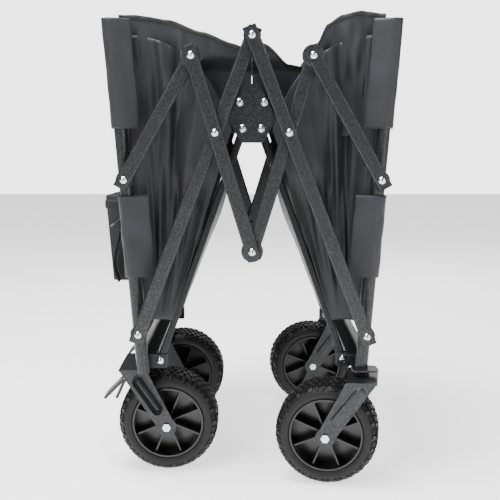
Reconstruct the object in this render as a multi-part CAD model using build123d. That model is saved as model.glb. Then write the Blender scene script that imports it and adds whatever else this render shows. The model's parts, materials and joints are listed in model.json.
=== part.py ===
"""Folding camp wagon: two post frames joined on each side by a flat-folding scissor of six bars,
fixed rear wheels, front swivel casters, a folding floor frame, a stowed pull handle and a fabric tub.
Millimetres, X along the wagon (rear -X, front +X), Y across, Z up from the ground."""
import os
from math import atan2, cos, degrees, hypot, radians, sin, sqrt

from build123d import *

# Side linkage: bar lengths between pivots and the fold angle between post and long bar.
corner_link_length = 232.0
cross_bar_upper = 130.0
cross_bar_lower = 206.0
long_bar_lower = 365.0
long_bar_upper = 168.0
fold_angle = 25.63
post_low_pivot_height = 262.0
# Layers across the wagon, as distances from its middle plane.
post_offset = 238.0
post_radius = 11.0
post_wall = 1.5
post_top = 781.0
post_bottom = 201.0
spacer_gap = 3.0
bar_height = 23.0
bar_thickness = 11.0
bar_wall = 1.5
bar_corner = 3.0
bar_end = 12.0
spacer_radius = 14.5
rivet_radius = 4.0
rivet_head_radius = 6.2
rivet_head_height = 3.2
pin_clearance = 0.1
# Wheels, forks and casters.
wheel_radius = 89.0
wheel_width = 85.0
tyre_bore = 63.0
tyre_shoulder = 14.0
rim_wall = 3.0
rim_hub_radius = 13.0
rim_rib_count = 8
rim_rib_thickness = 3.0
rim_web_thickness = 4.0
axle_radius = 6.0
axle_nut_radius = 7.5
axle_nut_height = 5.0
fork_plate = 3.0
fork_end_radius = 17.0
rear_axle_x = -150.0
rear_wheel_y = 166.0
rear_fork_half = 60.6
rear_fork_x = (-233.0, -185.0)
rear_fork_top = 192.0
caster_pin = (191.0, 243.0)
caster_trail = 60.0
caster_fork_half = 52.0
caster_fork_length = 52.0
caster_fork_top = 187.0
caster_swivel = {"near": -9.0, "far": 4.0}
kingpin_radius = 5.0
bearing_radius = post_radius
bearing_height = 5.0
# Cross channels and corner brackets.
channel_web_x = 187.0
channel_top = 250.0
channel_shelf = 219.0
channel_bottom = 192.2
channel_depth = 21.0
channel_wall = 2.0
bracket_plate = 3.0
# Folding floor frame.
floor_bar_offset = 209.0
floor_bar_thickness = 8.0
floor_bar_height = 12.0
floor_pin_x = 161.0
floor_pin_z = 206.0
hub_pin_x = 16.0
hub_pin_z = 609.0
hub_plate_thickness = 2.5
hub_gap = 0.4
side_gap = 0.5
hub_outline = ((-11.0, 75.0), (11.0, 75.0), (41.0, 17.0), (24.0, -15.0), (19.0, -24.0),
               (-19.0, -24.0), (-24.0, -15.0), (-41.0, 17.0))
hub_upper_pin = (21.0, 44.0)
floor_bolt_radius = 4.0
floor_bolt_head = 6.5
floor_bolt_height = 3.0
floor_cloth_back = 50.0
# Handle.
handle_pivot_height = 262.0
handle_offset = 16.5
handle_tube = 20.0
handle_wall = 1.5
handle_length = 330.0
handle_inner_length = 340.0
handle_slide_gap = 0.4
handle_grip_width = 120.0
handle_grip_radius = 13.0
handle_button_radius = 6.0
handle_button_height = 9.0
handle_button_travel = 3.5
# Brake pedals.
pedal_pivot = (-226.0, 168.0)
pedal_tip = (-263.0, 131.0)
pedal_tab = (-243.0, 130.0)
pedal_width = 44.0
pedal_thickness = 5.0
pedal_pin_radius = 3.0
# Fabric.
sleeve_gap = 0.4
sleeve_wall = 3.0
upper_sleeve = (608.0, post_top + 3.0)
lower_sleeve = (358.0, 497.0)
cloth_thickness = 1.5
panel_thickness = 3.0
seat_gap = 0.35
panel_low = 275.0
panel_high = 770.0
side_cloth_low = 300.0
side_cloth_high = 760.0
side_cloth_reach = 100.0
mid_cloth_low = 660.0
mid_cloth_high = 740.0
mid_cloth_inside = 29.0
mid_cloth_outside = 106.0
floor_cloth_thickness = 3.0
pocket_depth = 45.0
pocket_half_width = 185.0
pocket_low = 345.0
pocket_high = 492.0
strap_width = 25.0
strap_thickness = 2.0
# The lowest point stands at Z 0 and the overall box is centred over the origin.
origin_shift = 10.5

sides = {"near": -1, "far": 1}
post_fold = cross_bar_upper + long_bar_lower - corner_link_length


def linkage(angle):
    """Pivots of the rear half in the wagon's plane for a fold angle, with the middle line at x 0."""
    cross = (long_bar_lower * sin(angle), long_bar_lower * cos(angle))
    top_length = long_bar_lower + long_bar_upper
    top = (top_length * sin(angle), top_length * cos(angle))
    away = (cross[0], cross[1] - post_fold)
    span = hypot(*away)
    along = (corner_link_length**2 - cross_bar_upper**2 + span**2) / (2 * span)
    rise = sqrt(max(corner_link_length**2 - along**2, 0.0))
    unit = (away[0] / span, away[1] / span)
    peak = (along * unit[0] - rise * unit[1], post_fold + along * unit[1] + rise * unit[0])
    share = (cross_bar_upper + cross_bar_lower) / cross_bar_upper
    foot = (peak[0] + share * (cross[0] - peak[0]), peak[1] + share * (cross[1] - peak[1]))
    lean = atan2(top[0] - foot[0], top[1] - foot[1])
    half = top[0] * cos(lean) - top[1] * sin(lean)

    def place(p):
        return (p[0] * cos(lean) - p[1] * sin(lean) - half,
                p[0] * sin(lean) + p[1] * cos(lean) + post_low_pivot_height)

    points = {"post_low": place((0, 0)), "post_high": place((0, post_fold)), "peak": place(peak),
              "cross": place(cross), "top": place(top), "foot": place(foot)}
    return points, lean


rear, post_lean = linkage(radians(fold_angle))
front = {name: (-x, z) for name, (x, z) in rear.items()}
inner_layer = post_offset + post_radius + spacer_gap
outer_layer = inner_layer + bar_thickness + spacer_gap
outer_face = outer_layer + bar_thickness


def post_x(height, end=-1):
    """Distance along X of a post's axis at a height; end is -1 for the rear frame, 1 for the front."""
    return end * (-rear["post_low"][0] + (height - post_low_pivot_height) * sin(post_lean) / cos(post_lean))


def save(name, *solids):
    """Writes one node; several solids stay separate solids in it."""
    moved = [Pos(origin_shift, 0, 0) * s for s in solids]
    shape = moved[0] if len(moved) == 1 else Compound(children=moved)
    export_step(shape, f"parts/{name}.step")


def cross_pin(x, z, y_low, y_high, radius):
    """A round pin along Y between two Y values."""
    length = y_high - y_low
    return Pos(x, (y_low + y_high) / 2, z) * Rot(90, 0, 0) * Cylinder(radius, length)


def cross_ring(x, z, y_low, y_high, radius, bore):
    """A round washer or spacer along Y."""
    return cross_pin(x, z, y_low, y_high, radius) - cross_pin(x, z, y_low - 1, y_high + 1, bore)


def mirrored(solid, side):
    """Solids are drawn on the near side; this gives the one for a side."""
    return solid if side == -1 else mirror(solid, about=Plane.XZ)


def both(solid):
    """The near solid and its mirror image."""
    return [solid, mirrored(solid, 1)]


def bar(start, end, offset, pins, height=bar_height, thickness=bar_thickness, over=bar_end,
        wall=bar_wall, bore=rivet_radius + pin_clearance):
    """A flat tube on the near side from one pivot past another, with its pin holes."""
    length = hypot(end[0] - start[0], end[1] - start[1]) + 2 * over
    tilt = degrees(atan2(end[1] - start[1], end[0] - start[0]))
    middle = ((start[0] + end[0]) / 2, (start[1] + end[1]) / 2)
    tube = Box(length, thickness, height)
    tube = fillet(tube.edges().filter_by(Axis.X), min(bar_corner, thickness / 3))
    tube -= Box(length + 2, thickness - 2 * wall, height - 2 * wall)
    tube = Pos(middle[0], -(offset + thickness / 2), middle[1]) * Rot(0, -tilt, 0) * tube
    for pin in pins:
        tube -= cross_pin(pin[0], pin[1], -(offset + thickness + 1), -(offset - 1), bore)
    return tube


def end_caps(start, end, offset, height=bar_height, thickness=bar_thickness, over=bar_end, wall=bar_wall):
    """The moulded plugs that close a flat tube's two ends."""
    tilt = degrees(atan2(end[1] - start[1], end[0] - start[0]))
    reach = hypot(end[0] - start[0], end[1] - start[1]) / 2 + over
    middle = ((start[0] + end[0]) / 2, (start[1] + end[1]) / 2)
    plugs = []
    for way in (-1, 1):
        lip = Pos(way * (reach + 1.5), 0, 0) * Box(3, thickness, height)
        lip = fillet(lip.edges().filter_by(Axis.Y), 1.2)
        stem = Pos(way * (reach - 2.5), 0, 0) * Box(5, thickness - 2 * wall, height - 2 * wall)
        plug = lip + stem
        plugs.append(Pos(middle[0], -(offset + thickness / 2), middle[1]) * Rot(0, -tilt, 0) * plug)
    return plugs


def rivet(point, y_tail, y_head, radius=rivet_radius, head=rivet_head_radius, height=rivet_head_height,
          tail=True):
    """A domed rivet on the near side, its head outwards and a flat washer head at its tail."""
    shank = cross_pin(point[0], point[1], -y_head, -y_tail, radius)
    dome_radius = (head**2 + height**2) / (2 * height)
    dome = Pos(0, 0, height - dome_radius) * Sphere(dome_radius)
    dome &= Pos(0, 0, height / 2) * Box(4 * head, 4 * head, height)
    dome = Pos(point[0], -y_head, point[1]) * Rot(90, 0, 0) * dome
    if not tail:
        return shank + dome
    return shank + dome + cross_pin(point[0], point[1], -y_tail, -(y_tail - 1.5), head)


def stud(point, y_tail, y_head):
    """A short rivet that fills only its own bar."""
    return rivet(point, y_tail + 1.5, y_head)


def post_sides(low, high, radius, bore, end):
    """A tube round the near post's axis between two heights, its ends square to the ground."""
    length = (high - low) / cos(post_lean) + 4 * radius
    middle = (low + high) / 2
    lean = degrees(post_lean) * end
    tube = Cylinder(radius, length)
    if bore:
        tube -= Cylinder(bore, length + 2)
    tube = Pos(post_x(middle, end), -post_offset, middle) * Rot(0, lean, 0) * tube
    keep = Pos(post_x(middle, end), -post_offset, middle) * Box(300, 80, high - low)
    return tube & keep


def post(end, bottom):
    """A round post with its two pivot holes."""
    tube = post_sides(bottom, post_top - 6, post_radius, post_radius - post_wall, end)
    for name in ("post_low", "post_high"):
        x, z = rear[name]
        tube -= cross_pin(-end * x, z, -post_offset - 30, -post_offset + 30, rivet_radius + pin_clearance)
    return tube


def post_cap(end):
    """The moulded cap on a post's top."""
    low = post_top - 6
    lid = post_sides(low, post_top, post_radius + 0.8, 0, end)
    return lid + post_sides(low - 14, low, post_radius - post_wall - 0.1, 0, end)


def tyre(x, y, z):
    """A solid tyre with rounded shoulders."""
    half = wheel_width / 2
    with_plane = Plane.XY
    outline = with_plane * Polyline((tyre_bore, -half + 4), (tyre_bore, half - 4), (wheel_radius, half),
                                    (wheel_radius, -half), close=True)
    face = make_face(outline)
    outer = [v for v in face.vertices() if v.X > wheel_radius - 1]
    face = fillet(outer, tyre_shoulder)
    return Pos(x, y, z) * revolve(face, Axis.Y)


def rim(x, y, z):
    """A moulded rim: barrel, middle web, thin radial ribs and a bored hub."""
    half = wheel_width / 2 - 4
    barrel = Rot(90, 0, 0) * (Cylinder(tyre_bore, 2 * half) - Cylinder(tyre_bore - rim_wall, 2 * half + 2))
    hub = Rot(90, 0, 0) * Cylinder(rim_hub_radius, 2 * half - 2)
    web = Rot(90, 0, 0) * Cylinder(tyre_bore - rim_wall + 0.5, rim_web_thickness)
    wheel = barrel + hub + web
    rib_length = tyre_bore - rim_wall + 0.5 - rim_hub_radius + 1
    for n in range(rim_rib_count):
        rib = Pos(rim_hub_radius - 1 + rib_length / 2, 0, 0) * Box(rib_length, 2 * half - 16, rim_rib_thickness)
        wheel += Rot(0, 360 * (n + 0.5) / rim_rib_count, 0) * rib
    wheel -= Rot(90, 0, 0) * Cylinder(axle_radius + pin_clearance, 2 * half + 10)
    return Pos(x, y, z) * wheel


def fork(top, foot, plate_x, half):
    """A pressed inverted-U fork centred on Y 0: a top plate and two tapering legs down to the axle."""
    legs = Polyline((plate_x[0], top), (plate_x[1], top), (foot[0] + fork_end_radius, foot[1]),
                    (foot[0] - fork_end_radius, foot[1]), close=True)
    if abs(plate_x[0] - foot[0]) < abs(plate_x[1] - foot[0]):
        legs = Polyline((plate_x[1], top), (plate_x[0], top), (foot[0] - fork_end_radius, foot[1]),
                        (foot[0] + fork_end_radius, foot[1]), close=True)
    side = make_face(Plane.XZ * legs)
    side += Pos(foot[0], 0, foot[1]) * Rot(90, 0, 0) * Circle(fork_end_radius)
    leg = extrude(side, fork_plate / 2, both=True)
    leg -= cross_pin(foot[0], foot[1], -10, 10, axle_radius + pin_clearance)
    shape = Pos(0, -(half - fork_plate / 2), 0) * leg + Pos(0, half - fork_plate / 2, 0) * leg
    plate_length = plate_x[1] - plate_x[0]
    plate = Pos((plate_x[0] + plate_x[1]) / 2, 0, top - fork_plate / 2) * Box(plate_length, 2 * half, fork_plate)
    return shape + plate


def axle(x, z, half):
    """An axle bolt with domed nuts outside a fork, centred on Y 0."""
    reach = half + axle_nut_height
    bolt = cross_pin(x, z, -reach, reach, axle_radius)
    for way in (-1, 1):
        nut = extrude(RegularPolygon(axle_nut_radius, 6), axle_nut_height)
        nut = Rot(-90 * way, 0, 0) * nut
        bolt += Pos(x, way * half, z) * nut
    return bolt


def axle_spacer(x, z, half, way):
    """The tube that keeps a wheel's hub off the fork's leg."""
    inner = wheel_width / 2 - 5 + 0.3
    outer = half - fork_plate - 0.3
    low, high = sorted((way * inner, way * outer))
    return cross_ring(x, z, low, high, axle_radius + 3.5, axle_radius + pin_clearance)


def channel(end):
    """The folded cross channel between the two posts: a standing web, a shelf and a turned-down lip."""
    half = post_offset - post_radius - 0.2
    web_height = channel_top - channel_bottom
    web = Pos(channel_web_x - channel_wall / 2, 0, channel_bottom + web_height / 2)
    shape = web * Box(channel_wall, 2 * half, web_height)
    shelf_x = channel_web_x - channel_depth / 2
    shape += Pos(shelf_x, 0, channel_shelf) * Box(channel_depth, 2 * half, channel_wall)
    lip_height = channel_shelf - channel_bottom - 4
    lip_x = channel_web_x - channel_depth + channel_wall / 2
    keep_out = floor_bar_offset + 12
    lip = Pos(lip_x, 0, channel_shelf - lip_height / 2) * Box(channel_wall, 2 * (keep_out - 36), lip_height)
    return shape + lip if end == 1 else mirror(shape + lip, about=Plane.YZ)


def floor_bar_y(end):
    """How far out a floor bar's middle lies: the front bars pass inside the hub and its bolts."""
    step = floor_bar_thickness + hub_gap + hub_plate_thickness + floor_bolt_height + side_gap
    return floor_bar_offset if end == -1 else floor_bar_offset - step


def floor_bracket(end):
    """Two ears under the channel's shelf that hold a floor bar's pin, on the near side."""
    ears = []
    gap = floor_bar_thickness / 2 + hub_gap
    for way in (-1, 1):
        y = -floor_bar_y(end) + way * (gap + bracket_plate / 2)
        ear = Pos(floor_pin_x + 6, y, (channel_bottom + channel_shelf) / 2 - 0.6)
        ear = ear * Box(36, bracket_plate, channel_shelf - channel_bottom - 3)
        ear -= cross_pin(floor_pin_x, floor_pin_z, y - 5, y + 5, floor_bolt_radius + pin_clearance)
        ears.append(ear if end == 1 else mirror(ear, about=Plane.YZ))
    return ears


def corner_bracket():
    """The plate under a front post that carries the caster's kingpin, on the near side."""
    reach = caster_pin[1] + 22 - (post_offset - post_radius + 0.5)
    y = -(post_offset - post_radius + 0.5 + reach / 2)
    plate = Pos(caster_pin[0] + 2, y, post_bottom - bracket_plate / 2) * Box(44, reach, bracket_plate)
    plate = fillet(plate.edges().filter_by(Axis.Z), 8)
    return plate - Pos(caster_pin[0], -caster_pin[1], post_bottom) * Cylinder(kingpin_radius + pin_clearance, 20)


def kingpin():
    """The caster's pin: nut under the corner bracket, shank through the fork and head below it."""
    x, y = caster_pin[0], -caster_pin[1]
    bottom = caster_fork_top - fork_plate - 7
    top = post_bottom - 0.1
    shank = Pos(x, y, (top + bottom) / 2) * Cylinder(kingpin_radius, top - bottom)
    nut_low = caster_fork_top + bearing_height + 0.4
    nut_high = post_bottom - bracket_plate
    nut = Pos(x, y, nut_low) * extrude(RegularPolygon(8.5, 6), nut_high - nut_low)
    head = Pos(x, y, bottom) * extrude(RegularPolygon(9.0, 6), 6.5)
    return shank + nut + head


def caster_bearing():
    """The flat bearing between a caster's fork and its kingpin's nut, on the near side."""
    x, y = caster_pin[0], -caster_pin[1]
    cup = Cylinder(bearing_radius, bearing_height - 0.3)
    cup -= Cylinder(kingpin_radius + pin_clearance, bearing_height + 2)
    return Pos(x, y, caster_fork_top + 0.3 + bearing_height / 2) * cup


def floor_bolt(end):
    """The domed bolt that holds a floor bar between its two ears, on the near side."""
    reach = floor_bar_thickness / 2 + hub_gap + bracket_plate
    place = (end * floor_pin_x, floor_pin_z)
    y = floor_bar_y(end)
    return rivet(place, y - reach, y + reach, floor_bolt_radius, floor_bolt_head, floor_bolt_height)


def pedal_arm(start, end, thickness, width):
    """A flat arm between two points in the wagon's plane, centred on Y 0."""
    length = hypot(end[0] - start[0], end[1] - start[1])
    tilt = degrees(atan2(end[1] - start[1], end[0] - start[0]))
    arm = Box(length + thickness, width, thickness)
    arm = fillet(arm.edges().filter_by(Axis.Y), thickness / 2 - 0.1)
    return Pos((start[0] + end[0]) / 2, 0, (start[1] + end[1]) / 2) * Rot(0, -tilt, 0) * arm


def brake_pedal():
    """A moulded foot pedal with its brake tab, centred on Y 0."""
    shape = pedal_arm(pedal_pivot, pedal_tip, pedal_thickness, pedal_width)
    shape += pedal_arm(pedal_pivot, pedal_tab, pedal_thickness, pedal_width - 12)
    shape += cross_pin(*pedal_pivot, -pedal_width / 2, pedal_width / 2, pedal_pin_radius + 3.5)
    return shape - cross_pin(*pedal_pivot, -60, 60, pedal_pin_radius + pin_clearance)


def pedal_hanger(way):
    """One ear under the rear fork's top plate that holds the pedal's pin."""
    y = way * (pedal_width / 2 + 0.5 + bracket_plate / 2)
    x, z = pedal_pivot
    height = rear_fork_top - fork_plate - 0.1 - z + 7
    ear = Pos(x + 1, y, z - 7 + height / 2) * Box(12, bracket_plate, height)
    return ear - cross_pin(x, z, y - 5, y + 5, pedal_pin_radius + pin_clearance)


def hub_plate(y):
    """One hexagonal cheek of the floor hub."""
    outline = Polyline(*[(x, hub_pin_z + z) for x, z in hub_outline], close=True)
    plate = extrude(make_face(Plane.XZ * outline), hub_plate_thickness / 2, both=True)
    plate = fillet(plate.edges().filter_by(Axis.Y), 4)
    for x in (-hub_pin_x, hub_pin_x):
        plate -= cross_pin(x, hub_pin_z, -5, 5, floor_bolt_radius + pin_clearance)
        upper_x = hub_upper_pin[0] if x > 0 else -hub_upper_pin[0]
        plate -= cross_pin(upper_x, hub_pin_z + hub_upper_pin[1], -5, 5, floor_bolt_radius + pin_clearance)
    return Pos(0, y, 0) * plate


def slab(low, high):
    """A box between two corners."""
    size = [b - a for a, b in zip(low, high)]
    centre = [(a + b) / 2 for a, b in zip(low, high)]
    return Pos(*centre) * Box(*size)


def leaning_slab(end, low, high, half_width, inset, thickness):
    """A panel that leans with a frame's posts, set in from their axis by inset."""
    middle = (low + high) / 2
    plate = Rot(0, degrees(post_lean) * end, 0) * Box(thickness, 2 * half_width, (high - low) / cos(post_lean))
    return Pos(post_x(middle, end) - end * inset, 0, middle) * plate


def handle_tilt(solid):
    """Turns a solid drawn upright at the handle's pivot to lean with the front posts."""
    x = post_x(handle_pivot_height, 1) + handle_offset
    return Pos(x, 0, handle_pivot_height) * Rot(0, degrees(post_lean), 0) * solid


def square_tube(size, wall, low, high):
    """A square tube with rounded edges along Z."""
    tube = Pos(0, 0, (low + high) / 2) * Box(size, size, high - low)
    tube = fillet(tube.edges().filter_by(Axis.Z), 2.5)
    return tube - Pos(0, 0, (low + high) / 2) * Box(size - 2 * wall, size - 2 * wall, high - low + 2)


def build_frames():
    """Posts, channels, brackets and caps of the two end frames."""
    save("rear_posts", *both(post(-1, 190.0)))
    save("front_posts", *both(post(1, post_bottom + 0.1)))
    save("rear_channel", channel(-1))
    save("front_channel", channel(1))
    save("rear_floor_brackets", *[s for ear in floor_bracket(-1) for s in both(ear)])
    front_pieces = floor_bracket(1) + [corner_bracket()]
    save("front_brackets", *[s for piece in front_pieces for s in both(piece)])


def build_linkage():
    """The twelve side bars with their plugs, rivets and spacers."""
    layer = {"in": inner_layer, "out": outer_layer}
    bars = {
        "corner_links_rear": ("post_high", "peak", rear, "in"),
        "corner_links_front": ("post_high", "peak", front, "out"),
        "cross_bars_rear": ("peak", "foot", rear, "out"),
        "cross_bars_front": ("peak", "foot", front, "in"),
        "long_bars_rear": ("post_low", "top", rear, "in"),
        "long_bars_front": ("post_low", "top", front, "out"),
    }
    for name, (first, last, half, level) in bars.items():
        pins = [half[first], half[last]]
        if name[:6] != "corner":
            pins.append(half["cross"])
        tube = bar(half[first], half[last], layer[level], pins)
        caps = end_caps(half[first], half[last], layer[level])
        save(name, *[s for piece in [tube] + caps for s in both(piece)])
    post_inner = post_offset - post_radius
    rear_rivets = [rivet(rear["post_low"], post_inner, inner_layer + bar_thickness),
                   rivet(rear["post_high"], post_inner, inner_layer + bar_thickness), floor_bolt(-1)]
    front_rivets = [rivet(front["post_low"], post_inner, outer_face),
                    rivet(front["post_high"], post_inner, outer_face), floor_bolt(1)]
    save("rear_rivets", *[s for r in rear_rivets for s in both(r)])
    save("front_rivets", *[s for r in front_rivets for s in both(r)])
    gap = 0.3
    bore = rivet_radius + pin_clearance
    post_face = post_offset + post_radius
    rear_rings = [cross_ring(*rear[p], -(inner_layer - gap), -(post_face + gap), spacer_radius, bore)
                  for p in ("post_low", "post_high")]
    front_rings = [cross_ring(*front[p], -(outer_layer - gap), -(post_face + gap), spacer_radius, bore)
                   for p in ("post_low", "post_high")]
    save("rear_post_plastics", *[s for r in rear_rings + [post_cap(-1)] for s in both(r)])
    save("front_post_plastics", *[s for r in front_rings + [post_cap(1)] for s in both(r)])
    long_rear = [rivet(rear["cross"], inner_layer, outer_face)]
    long_front = [rivet(front["top"], inner_layer, outer_face), rivet(front["cross"], inner_layer, outer_face)]
    save("scissor_rivets_rear", *[s for r in long_rear for s in both(r)])
    save("scissor_rivets_front", *[s for r in long_front for s in both(r)])
    middle_low, middle_high = inner_layer + bar_thickness + gap, outer_layer - gap
    save("scissor_spacer_top", *both(cross_ring(*front["top"], -middle_high, -middle_low, spacer_radius, bore)))
    cross_studs = [stud(rear[p], outer_layer + bar_wall, outer_face) for p in ("peak", "foot")]
    save("cross_bar_studs", *[s for r in cross_studs for s in both(r)])
    save("corner_link_studs", *both(stud(front["peak"], outer_layer + bar_wall, outer_face)))


def build_wheels():
    """Rear wheels in fixed forks and front wheels in swivelling ones."""
    for side, sign in sides.items():
        place = Pos(0, sign * rear_wheel_y, 0)
        save(f"tyre_rear_{side}", tyre(rear_axle_x, sign * rear_wheel_y, wheel_radius))
        save(f"rim_rear_{side}", rim(rear_axle_x, sign * rear_wheel_y, wheel_radius))
        turn = Pos(caster_pin[0], sign * caster_pin[1], 0) * Rot(0, 0, caster_swivel[side])
        save(f"tyre_front_{side}", turn * tyre(-caster_trail, 0, wheel_radius))
        save(f"rim_front_{side}", turn * rim(-caster_trail, 0, wheel_radius))
        half_length = caster_fork_length / 2
        shape = fork(caster_fork_top, (-caster_trail, wheel_radius), (-half_length, half_length), caster_fork_half)
        shape -= Pos(0, 0, caster_fork_top) * Cylinder(kingpin_radius + pin_clearance, 20)
        save(f"caster_fork_{side}", turn * shape)
        bolt = [turn * axle(-caster_trail, wheel_radius, caster_fork_half)]
        bolt += [turn * axle_spacer(-caster_trail, wheel_radius, caster_fork_half, way) for way in (-1, 1)]
        save(f"caster_axle_{side}", *bolt)
        save(f"brake_pedal_{side}", place * brake_pedal())
    forks, axles, hangers = [], [], []
    for sign in sides.values():
        place = Pos(0, sign * rear_wheel_y, 0)
        forks.append(place * fork(rear_fork_top, (rear_axle_x, wheel_radius), rear_fork_x, rear_fork_half))
        axles.append(place * axle(rear_axle_x, wheel_radius, rear_fork_half))
        axles += [place * axle_spacer(rear_axle_x, wheel_radius, rear_fork_half, way) for way in (-1, 1)]
        hangers += [place * pedal_hanger(way) for way in (-1, 1)]
        pin_half = pedal_width / 2 + 0.5 + bracket_plate
        axles.append(place * cross_pin(*pedal_pivot, -pin_half, pin_half, pedal_pin_radius))
    save("rear_forks", *forks, *hangers)
    save("rear_axles", *axles)
    save("kingpins", *[s for piece in (kingpin(), caster_bearing()) for s in both(piece)])


def build_floor():
    """The two pairs of floor bars, their bolts and the hub that lifts them when the wagon folds."""
    size = dict(height=floor_bar_height, thickness=floor_bar_thickness, over=7.0, wall=1.2,
                bore=floor_bolt_radius + pin_clearance)
    for name, end in (("rear", -1), ("front", 1)):
        start, stop = (end * floor_pin_x, floor_pin_z), (end * hub_pin_x, hub_pin_z)
        inner = floor_bar_y(end) - floor_bar_thickness / 2
        save(f"floor_bars_{name}", *both(bar(start, stop, inner, [start, stop], **size)))
    gap = floor_bar_thickness / 2 + hub_gap + hub_plate_thickness / 2
    plates = [hub_plate(-floor_bar_offset - gap), hub_plate(-floor_bar_offset + gap)]
    outside = floor_bar_offset + floor_bar_thickness / 2 + hub_gap + hub_plate_thickness
    inside = floor_bar_offset - floor_bar_thickness / 2 - hub_gap - hub_plate_thickness
    bolts = [rivet((hub_upper_pin[0] * way, hub_pin_z + hub_upper_pin[1]), inside, outside,
                   floor_bolt_radius, floor_bolt_head, floor_bolt_height) for way in (-1, 1)]
    bolts.append(rivet((-hub_pin_x, hub_pin_z), inside, outside, floor_bolt_radius, floor_bolt_head,
                       floor_bolt_height))
    bolts.append(rivet((hub_pin_x, hub_pin_z), outside - hub_plate_thickness, outside,
                       floor_bolt_radius, floor_bolt_head, floor_bolt_height, tail=False))
    save("hub_bolts", *[s for b in bolts for s in both(b)])
    half = floor_bar_offset - floor_bar_thickness / 2 - hub_gap - hub_plate_thickness - seat_gap
    beam = Box(24, 2 * half, 14) - Box(20, 2 * half + 2, 10)
    beam = Pos(0, 0, hub_pin_z + hub_upper_pin[1] + 8) * beam
    save("hub_plates", *[s for p in plates for s in both(p)], beam)


def build_handle():
    """The pull handle, stowed upright between the front posts."""
    ear_gap = handle_tube / 2 + 0.6
    ears = []
    for way in (-1, 1):
        y = way * (ear_gap + bracket_plate / 2)
        x = post_x(handle_pivot_height, 1) + handle_offset
        low, high = channel_top - 14, handle_pivot_height + 9
        ear = slab((channel_web_x + 0.1, y - bracket_plate / 2, low), (x + 10, y + bracket_plate / 2, high))
        ears.append(ear - cross_pin(x, handle_pivot_height, y - 5, y + 5, rivet_radius + pin_clearance))
    x = post_x(handle_pivot_height, 1) + handle_offset
    reach = ear_gap + bracket_plate
    ears.append(cross_pin(x, handle_pivot_height, -reach - 2, reach + 2, rivet_radius))
    save("handle_ears", *ears)
    outer = square_tube(handle_tube, handle_wall, -9, handle_length)
    outer -= cross_pin(0, 0, -30, 30, rivet_radius + pin_clearance)
    save("handle_outer_tube", handle_tilt(outer))
    inner_size = handle_tube - 2 * handle_wall - 2 * handle_slide_gap
    inner = square_tube(inner_size, handle_wall, handle_length - handle_inner_length + 40, handle_length + 60)
    save("handle_inner_tube", handle_tilt(inner))
    collar = Pos(0, 0, handle_length + 6) * Box(handle_tube + 8, handle_tube + 8, 34)
    collar = fillet(collar.edges(), 4)
    collar -= Pos(0, 0, handle_length - 3.9) * Box(handle_tube + 0.2, handle_tube + 0.2, 15)
    collar -= Pos(0, 0, handle_length + 6) * Box(inner_size + 0.8, inner_size + 0.8, 50)
    save("handle_collar", handle_tilt(collar))
    grip_z = handle_length + 60 + handle_grip_radius
    grip = Pos(0, 0, grip_z) * Rot(90, 0, 0) * Cylinder(handle_grip_radius, handle_grip_width)
    grip = fillet(grip.edges(), 6)
    neck = Pos(0, 0, grip_z - handle_grip_radius - 6) * Box(inner_size + 8, inner_size + 12, 24)
    neck -= Pos(0, 0, grip_z - handle_grip_radius - 12.05) * Box(inner_size + 0.2, inner_size + 0.2, 24.1)
    grip = grip + neck
    button_z = grip_z + handle_grip_radius - 2.5
    well = handle_button_height + 2 * handle_button_travel + 1
    grip -= Pos(0, 0, button_z) * Cylinder(handle_button_radius + 0.5, well)
    save("handle_grip", handle_tilt(grip))
    button = Pos(0, 0, button_z) * Cylinder(handle_button_radius, handle_button_height)
    button = fillet(button.edges().group_by(Axis.Z)[-1], 1.5)
    save("handle_button", handle_tilt(button))


def standing_sheet(outline, distance):
    """A thin cloth sheet on the near side, standing along the wagon, from its (x, z) outline."""
    face = make_face(Plane.XZ * Polyline(*outline, close=True))
    return Pos(0, -distance, 0) * extrude(face, cloth_thickness / 2, both=True)


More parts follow.
